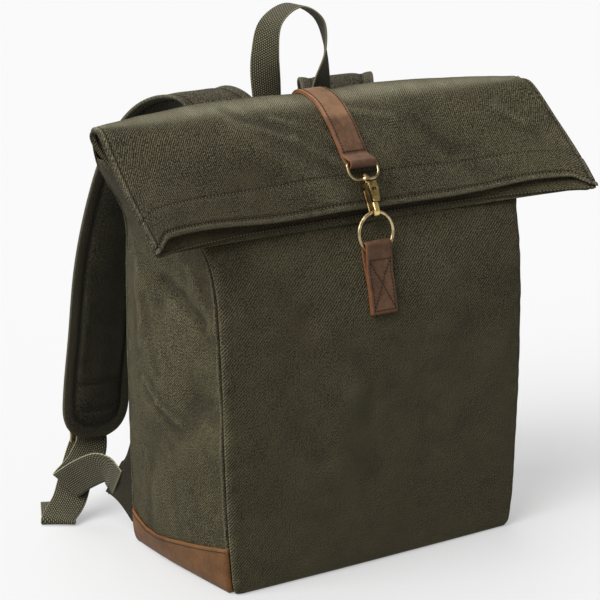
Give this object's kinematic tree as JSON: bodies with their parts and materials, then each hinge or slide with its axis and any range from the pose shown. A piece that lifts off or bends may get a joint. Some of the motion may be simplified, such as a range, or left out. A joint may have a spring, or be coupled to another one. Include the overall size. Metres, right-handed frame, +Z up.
{
  "type": "backpack",
  "caption": "Waxed canvas roll-top backpack with a leather closure strap, swivel clasp and ring, padded shoulder straps and a webbing haul handle.",
  "frame": {"origin": "middle of the base, on the floor", "axes": "+Z up, -Y out of the front with the ring, +X to the right of someone who looks at the front"},
  "size_m": [0.4429, 0.2967, 0.4539],
  "materials": {
    "canvas": "waxed olive twill",
    "leather": "oiled brown",
    "brass": "antique",
    "webbing": "woven olive cotton"
  },
  "bodies": {
    "bag": {"front_panel": "canvas", "back_panel": "canvas", "left_gusset": "canvas", "right_gusset": "canvas", "base_panel": "canvas", "left_base_trim": "leather", "right_base_trim": "leather", "closure_strap": "leather", "ring_tab": "leather", "clasp_loop": "brass", "snap_hook": "brass", "closure_ring": "brass", "haul_handle": "webbing", "left_shoulder_strap": "canvas", "right_shoulder_strap": "canvas", "left_buckle_keeper": "webbing", "right_buckle_keeper": "webbing", "left_strap_buckle": "brass", "right_strap_buckle": "brass", "left_strap_webbing": "webbing", "right_strap_webbing": "webbing", "left_strap_tab": "canvas", "right_strap_tab": "canvas"},
    "gate": {"hook_gate": "brass"}
  },
  "joints": [
    {"name": "gate_hinge", "type": "hinge", "parent": "bag", "child": "gate", "pos_m": [0, -0.06505, 0.31965], "axis": [1, 0, 0], "range_deg": [0, 25], "stiffness_Nm_per_rad": 0.05, "springref_deg": -11.46}
  ]
}
